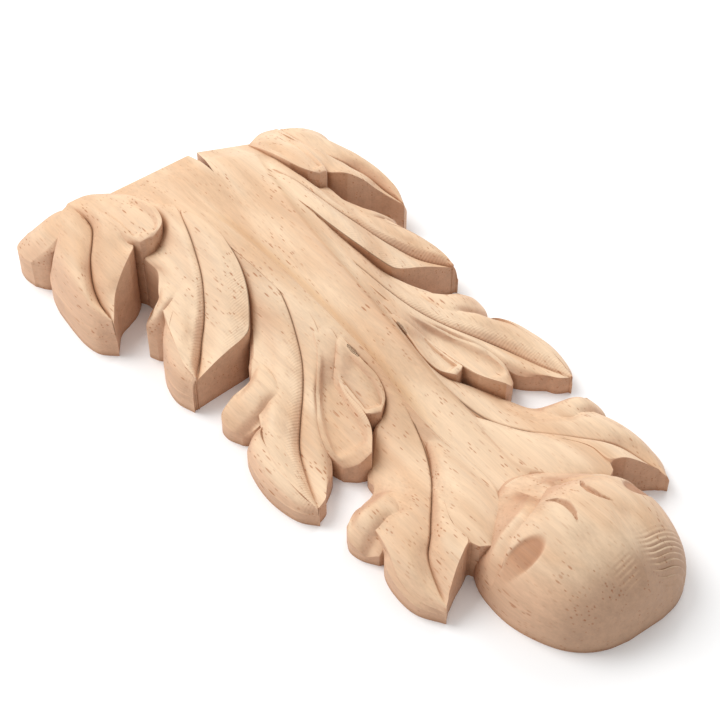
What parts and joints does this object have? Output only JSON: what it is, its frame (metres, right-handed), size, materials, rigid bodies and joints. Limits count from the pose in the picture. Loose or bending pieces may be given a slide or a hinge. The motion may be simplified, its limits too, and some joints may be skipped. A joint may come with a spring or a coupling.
{
  "type": "carved acanthus leaf corbel",
  "caption": "Carved wooden acanthus leaf with a flat back, lobed edges, a grooved midrib and a curled bulbous tip, fixed to a wall, bracket or furniture as an ornament.",
  "frame": {"origin": "centre of the flat back, on the leaf's plane of symmetry, midway between its two ends", "axes": "+Z out of the carved face, +Y towards the wide stem end, -Y towards the curled tip, +X across the leaf"},
  "size_m": [0.0996, 0.19, 0.0254],
  "materials": {
    "rubberwood": "bare, unfinished, sanded"
  },
  "bodies": {
    "root": {"acanthus_leaf": "rubberwood"}
  },
  "joints": []
}
